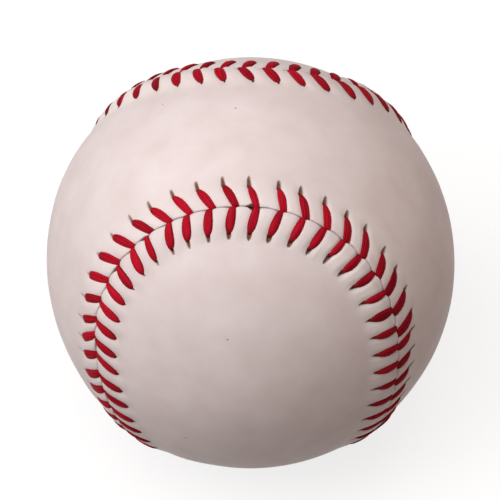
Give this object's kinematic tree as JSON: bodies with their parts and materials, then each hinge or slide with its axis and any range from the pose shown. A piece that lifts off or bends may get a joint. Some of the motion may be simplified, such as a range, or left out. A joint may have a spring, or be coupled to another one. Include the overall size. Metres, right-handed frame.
{
  "type": "baseball",
  "caption": "White leather ball in interlocking figure-eight panels, laced with a raised red herringbone seam over wool windings and a cushioned cork core, for throwing and batting.",
  "frame": {"origin": "centre of the ball", "axes": "+Z along the fourfold axis of the seam, up through the waist of the upper panel; -Y through one lobe of the lower panel, towards the camera"},
  "size_m": [0.0734, 0.0734, 0.0732],
  "materials": {
    "cork": "pressed cork granules",
    "black_rubber": "matt moulded",
    "red_rubber": "matt moulded",
    "grey_wool": "wound yarn",
    "white_wool": "wound yarn",
    "finishing_cotton": "fine wound thread",
    "white_leather": "smooth white cowhide, low sheen",
    "red_thread": "waxed cotton"
  },
  "bodies": {
    "root": {"cork_core": "cork", "rubber_cup_upper": "black_rubber", "rubber_cup_lower": "black_rubber", "rubber_gasket": "red_rubber", "rubber_jacket_upper": "red_rubber", "rubber_jacket_lower": "red_rubber", "wool_winding_first": "grey_wool", "wool_winding_second": "white_wool", "wool_winding_third": "grey_wool", "finishing_winding": "finishing_cotton", "cover_panel_upper": "white_leather", "cover_panel_lower": "white_leather", "seam_thread_first": "red_thread", "seam_thread_second": "red_thread"}
  },
  "joints": []
}
